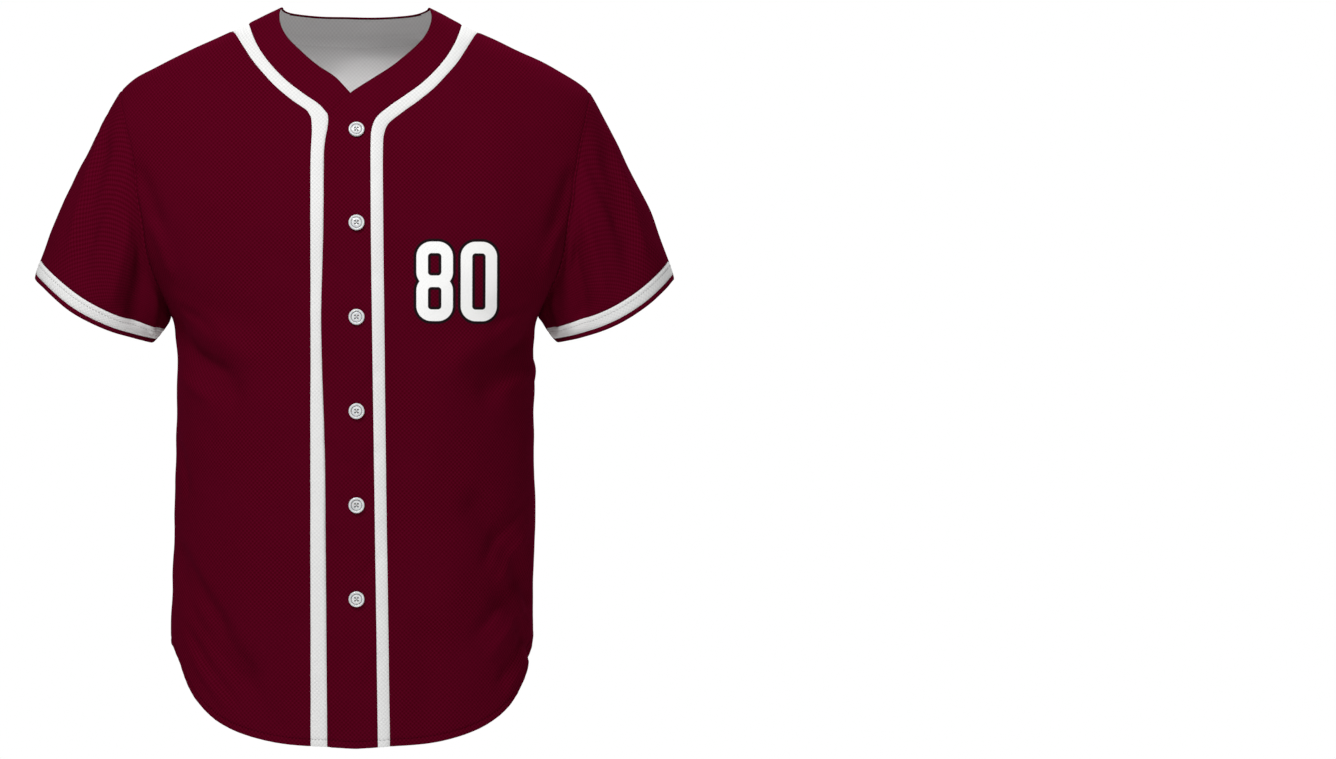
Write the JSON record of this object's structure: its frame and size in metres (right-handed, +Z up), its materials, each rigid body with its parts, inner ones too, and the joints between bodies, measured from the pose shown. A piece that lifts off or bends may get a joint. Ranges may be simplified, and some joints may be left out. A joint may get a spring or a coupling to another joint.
{
  "type": "baseball jersey",
  "caption": "Short-sleeved button-front jersey with a contrast stripe along its neck, placket and cuffs, hollow and filled out as worn.",
  "frame": {"origin": "between the shoulders, level with the middle of the shoulder seams, where the wearer's shoulders hold the jersey up", "axes": "+Z up, +X to the wearer's left, +Y to the back, so the buttoned front faces -Y"},
  "size_m": [0.656, 0.2651, 0.7591],
  "materials": {
    "burgundy_knit": "matt polyester knit with a slight sheen",
    "white_knit": "matt white polyester knit",
    "pearl_button": "polished pearly grey plastic"
  },
  "bodies": {
    "root": {"front_left_panel": "burgundy_knit", "front_left_trim": "white_knit", "front_left_band": "burgundy_knit", "front_right_panel": "burgundy_knit", "front_right_trim": "white_knit", "front_right_band": "burgundy_knit", "back_panel": "burgundy_knit", "back_trim": "white_knit", "back_band": "burgundy_knit", "sleeve_left": "burgundy_knit", "sleeve_right": "burgundy_knit", "cuff_trim_left": "white_knit", "cuff_trim_right": "white_knit", "cuff_edge_left": "burgundy_knit", "cuff_edge_right": "burgundy_knit", "button_1": "pearl_button", "button_2": "pearl_button", "button_3": "pearl_button", "button_4": "pearl_button", "button_5": "pearl_button", "button_6": "pearl_button"}
  },
  "joints": []
}
